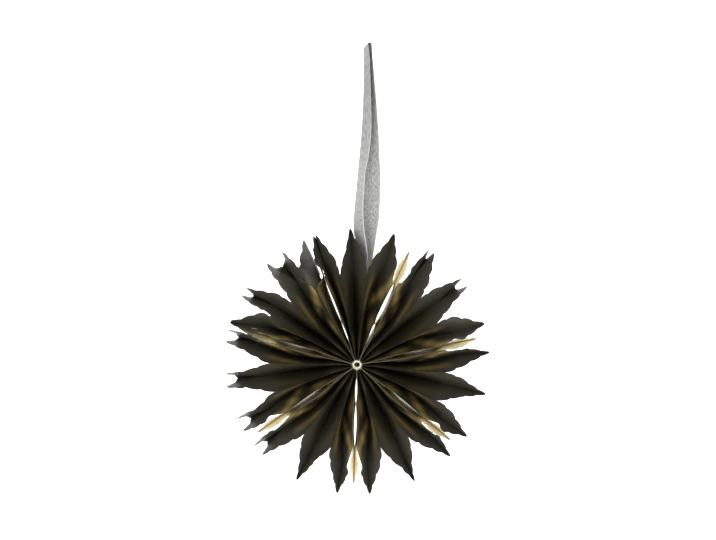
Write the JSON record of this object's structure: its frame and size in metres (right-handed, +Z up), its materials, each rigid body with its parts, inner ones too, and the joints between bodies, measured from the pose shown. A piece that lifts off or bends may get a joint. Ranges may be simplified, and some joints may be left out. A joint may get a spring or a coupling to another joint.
{
  "type": "paper star",
  "caption": "Round pleated paper star of black die-cut petals with gold leaves between them, on a grey ribbon loop for hanging.",
  "frame": {"origin": "inside the top of the ribbon loop, where the star hangs on its hook, midway between the front and the back", "axes": "+Z up, +X to the right as seen from the front; the star faces -Y and its hub's axis lies along Y"},
  "size_m": [0.299, 0.066, 0.5068],
  "materials": {
    "black_paper": "satin",
    "gold_foil_paper": "metallic",
    "ribbon": "matte"
  },
  "bodies": {
    "root": {"petal_01_left": "black_paper", "petal_01_right": "black_paper", "petal_02_left": "black_paper", "petal_02_right": "black_paper", "petal_03_left": "black_paper", "petal_03_right": "black_paper", "petal_04_left": "black_paper", "petal_04_right": "black_paper", "petal_05_left": "black_paper", "petal_05_right": "black_paper", "petal_06_left": "black_paper", "petal_06_right": "black_paper", "petal_07_left": "black_paper", "petal_07_right": "black_paper", "petal_08_left": "black_paper", "petal_08_right": "black_paper", "petal_09_left": "black_paper", "petal_09_right": "black_paper", "petal_10_left": "black_paper", "petal_10_right": "black_paper", "petal_11_left": "black_paper", "petal_11_right": "black_paper", "petal_12_left": "black_paper", "petal_12_right": "black_paper", "petal_13_left": "black_paper", "petal_13_right": "black_paper", "petal_14_left": "black_paper", "petal_14_right": "black_paper", "petal_15_left": "black_paper", "petal_15_right": "black_paper", "petal_16_left": "black_paper", "petal_16_right": "black_paper", "petal_17_left": "black_paper", "petal_17_right": "black_paper", "petal_18_left": "black_paper", "petal_18_right": "black_paper", "petal_19_left": "black_paper", "petal_19_right": "black_paper", "petal_20_left": "black_paper", "petal_20_right": "black_paper", "petal_21_left": "black_paper", "petal_21_right": "black_paper", "gold_1_left": "gold_foil_paper", "gold_1_right": "gold_foil_paper", "gold_2_left": "gold_foil_paper", "gold_2_right": "gold_foil_paper", "gold_3_left": "gold_foil_paper", "gold_3_right": "gold_foil_paper", "gold_4_left": "gold_foil_paper", "gold_4_right": "gold_foil_paper", "gold_5_left": "gold_foil_paper", "gold_5_right": "gold_foil_paper", "gold_6_left": "gold_foil_paper", "gold_6_right": "gold_foil_paper", "gold_7_left": "gold_foil_paper", "gold_7_right": "gold_foil_paper", "seam_cover": "black_paper", "ribbon": "ribbon"}
  },
  "joints": []
}
